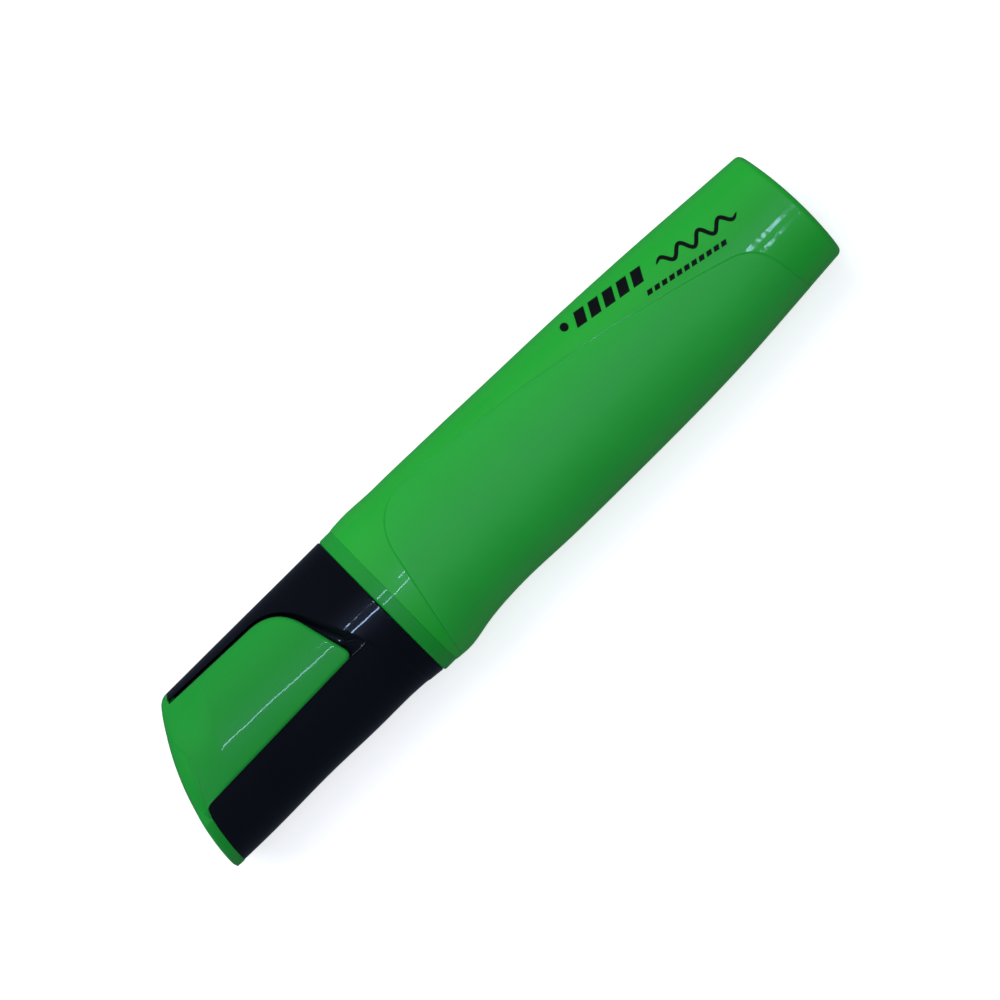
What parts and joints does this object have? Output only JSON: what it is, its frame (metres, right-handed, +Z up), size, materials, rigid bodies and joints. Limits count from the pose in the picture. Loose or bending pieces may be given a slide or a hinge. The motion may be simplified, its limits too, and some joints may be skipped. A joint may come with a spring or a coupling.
{
  "type": "capped highlighter pen",
  "caption": "Flat oval highlighter with a soft grip panel along one edge and a pull-off cap that carries a flexing clip.",
  "frame": {"origin": "under the middle of the pen, on the surface that it lies on", "axes": "+X along the barrel towards the writing end, +Y towards the belly edge that carries the grip, +Z up through the broad face that carries the clip"},
  "size_m": [0.1242, 0.0262, 0.0173],
  "materials": {
    "barrel_plastic": "moulded, glossy green",
    "grip_rubber": "soft, matte green",
    "cap_plastic": "moulded, glossy black",
    "inner_cap_plastic": "natural polypropylene",
    "nib_felt": "porous felt soaked in ink",
    "reservoir_fibre": "bundled fibre soaked in ink",
    "film_plastic": "thin clear film"
  },
  "bodies": {
    "pen": {"barrel": "barrel_plastic", "grip": "grip_rubber", "nose_section": "barrel_plastic", "nib": "nib_felt", "ink_reservoir": "reservoir_fibre", "reservoir_film": "film_plastic"},
    "cap": {"cap": "cap_plastic", "inner_cap": "inner_cap_plastic", "cap_cover": "barrel_plastic"},
    "clip": {"clip": "barrel_plastic"}
  },
  "joints": [
    {"name": "cap_pull", "type": "slide", "parent": "pen", "child": "cap", "axis": [1, 0, 0], "range_m": [0, 0.045]},
    {"name": "clip_flex", "type": "hinge", "parent": "cap", "child": "clip", "pos_m": [0.0515, -0.0042, 0.0172], "axis": [0, 1, 0], "range_deg": [0, 6], "stiffness_Nm_per_rad": 0.6}
  ]
}
